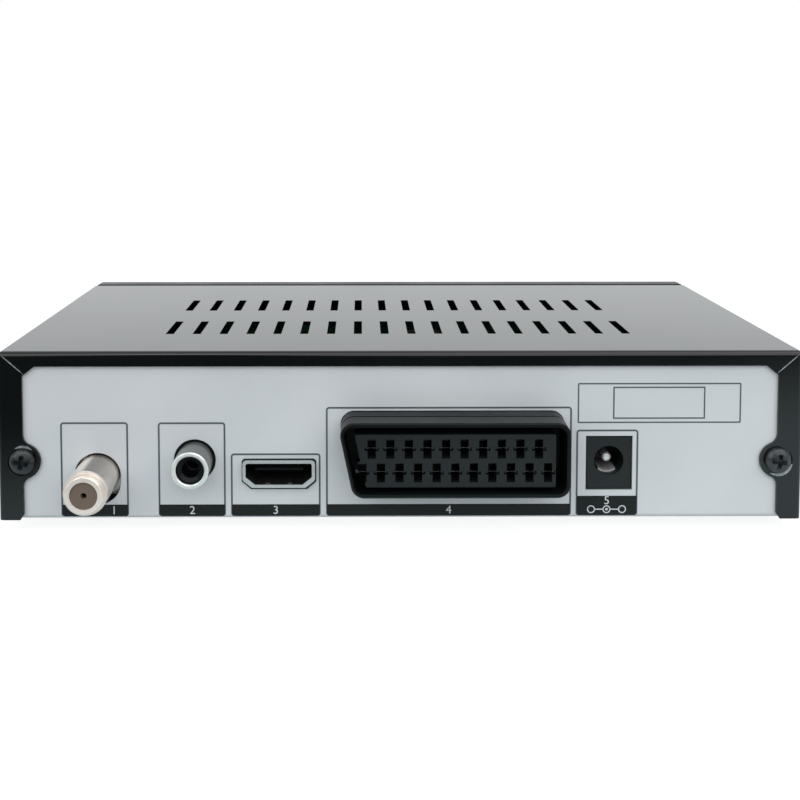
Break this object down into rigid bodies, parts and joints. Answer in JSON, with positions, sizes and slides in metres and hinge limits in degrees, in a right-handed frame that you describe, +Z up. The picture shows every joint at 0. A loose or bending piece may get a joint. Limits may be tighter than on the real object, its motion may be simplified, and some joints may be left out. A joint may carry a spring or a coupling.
{
  "type": "satellite television receiver",
  "caption": "Low flat set-top receiver: folded black cover over a silver rear wall with aerial, coaxial, HDMI, SCART and DC sockets; buttons and display in front.",
  "frame": {"origin": "middle of the underside of the bounding box, on the surface that the feet stand on", "axes": "+Z up, +Y out of the rear wall with its sockets, -Y out of the front panel, +X towards the aerial socket's side"},
  "size_m": [0.17, 0.1098, 0.039],
  "materials": {
    "cover_paint": "satin black paint, fine texture",
    "pan_paint": "silver paint",
    "black_screw": "black oxide",
    "zinc_screw": "zinc plated",
    "rubber": "matt",
    "front_plastic": "high gloss",
    "window_plastic": "smoked, clear gloss",
    "key_plastic": "satin",
    "switch_plastic": "moulded",
    "plunger_plastic": "moulded",
    "board": "green solder mask",
    "display_plastic": "moulded",
    "receiver_plastic": "dark tinted",
    "lamp_plastic": "diffused red",
    "nickel": "bright nickel",
    "tinned_steel": "tinned",
    "gold_contact": "gold flash",
    "socket_plastic": "moulded black",
    "contact_block_plastic": "moulded dark grey",
    "insulator_plastic": "moulded brown",
    "tongue_plastic": "moulded black",
    "chip_plastic": "moulded epoxy",
    "thermal_pad": "soft silicone",
    "aluminium": "extruded",
    "capacitor_sleeve": "sleeved can",
    "ferrite": "moulded ferrite",
    "plug_plastic": "natural nylon",
    "cable_plastic": "flat cable jacket"
  },
  "bodies": {
    "case": {"base_pan": "pan_paint", "top_cover": "cover_paint", "cover_screws": "black_screw", "rubber_feet": "rubber", "front_panel": "front_plastic", "front_panel_screws": "zinc_screw", "display_window": "window_plastic", "button_switches": "switch_plastic", "front_board": "board", "front_board_screws": "zinc_screw", "display_module": "display_plastic", "infrared_receiver": "receiver_plastic", "standby_lamp": "lamp_plastic", "usb_shell": "tinned_steel", "usb_tongue": "tongue_plastic", "usb_contacts": "gold_contact", "main_board": "board", "board_screws": "zinc_screw", "f_connector_barrel": "nickel", "f_connector_insulator": "insulator_plastic", "f_connector_contact": "gold_contact", "tuner_shield_frame": "tinned_steel", "tuner_shield_lid": "tinned_steel", "tuner_chip": "chip_plastic", "rca_shell": "nickel", "rca_housing": "socket_plastic", "rca_centre_contact": "tinned_steel", "hdmi_shell": "tinned_steel", "hdmi_tongue": "tongue_plastic", "hdmi_contacts": "gold_contact", "scart_housing": "socket_plastic", "scart_contact_block": "contact_block_plastic", "scart_contacts": "tinned_steel", "dc_jack_housing": "socket_plastic", "dc_jack_pin": "nickel", "dc_jack_spring": "gold_contact", "processor_chip": "chip_plastic", "thermal_pad": "thermal_pad", "heatsink": "aluminium", "memory_chip": "chip_plastic", "flash_chip": "chip_plastic", "scart_driver_chip": "chip_plastic", "crystal": "tinned_steel", "smoothing_capacitors": "capacitor_sleeve", "power_inductors": "ferrite", "voltage_regulators": "chip_plastic", "front_board_plug": "plug_plastic", "main_board_plug": "plug_plastic", "flat_cable": "cable_plastic"},
    "power_key": {"power_button": "key_plastic", "power_switch_plunger": "plunger_plastic"},
    "channel_down_key": {"channel_down_button": "key_plastic", "channel_down_switch_plunger": "plunger_plastic"},
    "channel_up_key": {"channel_up_button": "key_plastic", "channel_up_switch_plunger": "plunger_plastic"}
  },
  "joints": [
    {"name": "power_press", "type": "slide", "parent": "case", "child": "power_key", "axis": [0, 1, 0], "range_m": [0, 0.0003], "stiffness_N_per_m": 1200},
    {"name": "channel_down_press", "type": "slide", "parent": "case", "child": "channel_down_key", "axis": [0, 1, 0], "range_m": [0, 0.0003], "stiffness_N_per_m": 1200},
    {"name": "channel_up_press", "type": "slide", "parent": "case", "child": "channel_up_key", "axis": [0, 1, 0], "range_m": [0, 0.0003], "stiffness_N_per_m": 1200}
  ]
}
